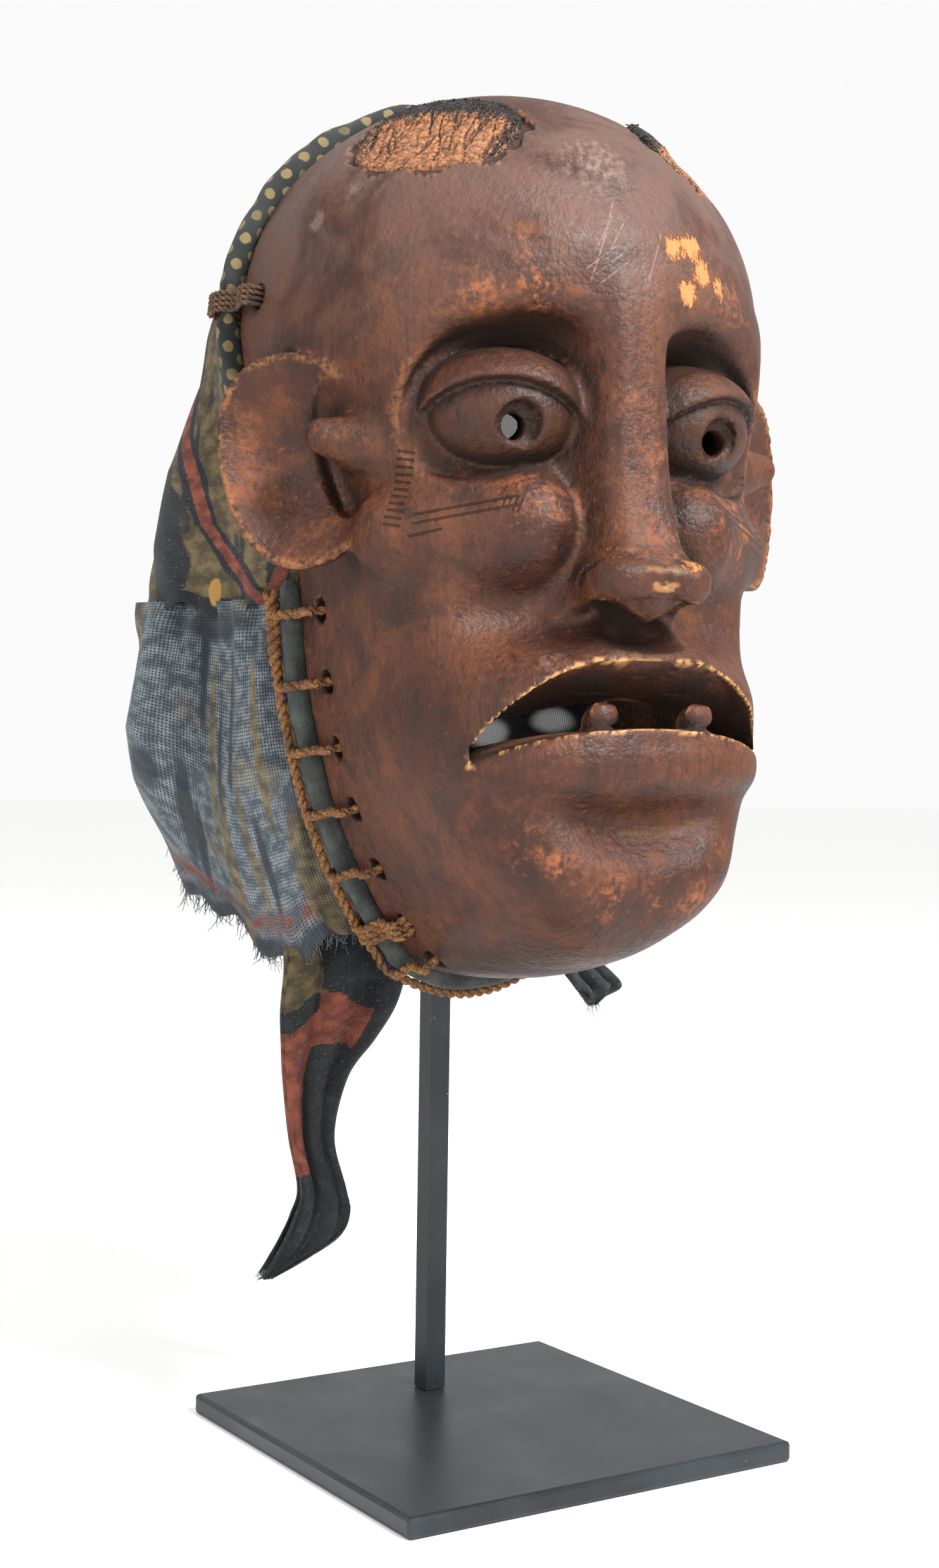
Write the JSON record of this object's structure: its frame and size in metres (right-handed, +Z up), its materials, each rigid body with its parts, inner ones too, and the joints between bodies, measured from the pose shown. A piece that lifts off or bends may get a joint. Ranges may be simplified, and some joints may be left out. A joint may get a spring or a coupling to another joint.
{
  "type": "ceremonial mask",
  "caption": "Carved wooden face mask with a laced-on printed cloth hood, held up by a square steel rod on a square steel base plate.",
  "frame": {"origin": "middle of the base plate's underside", "axes": "-Y is the way the mask looks, +Z is up, +X is the mask's own left"},
  "size_m": [0.2126, 0.2422, 0.4645],
  "materials": {
    "steel": "blackened steel plate and square bar, waxed",
    "wood": "carved hardwood, dark red brown patina, handled and worn to pale orange in places",
    "hide": "worn hide with matted black hair",
    "dotted_cotton": "rolled dark cotton with ochre dots",
    "dark_cotton": "rolled dark grey green cotton",
    "fibre_cord": "twisted plant fibre",
    "dark_fibre": "dark brown fibre strands",
    "printed_cotton": "faded cotton with olive, navy and rust bands",
    "gauze": "sheer blue grey checked cotton gauze"
  },
  "bodies": {
    "root": {"base_plate": "steel", "stand_rod": "steel", "mask_shell": "wood", "hair_right": "hide", "hair_left": "hide", "dotted_band": "dotted_cotton", "rim_roll": "dark_cotton", "lacing_cord": "fibre_cord", "temple_lashing_right": "dark_fibre", "temple_lashing_left": "dark_fibre", "hood_cotton": "printed_cotton", "hood_gauze": "gauze", "cloth_tail": "printed_cotton", "cloth_tip": "printed_cotton"}
  },
  "joints": []
}
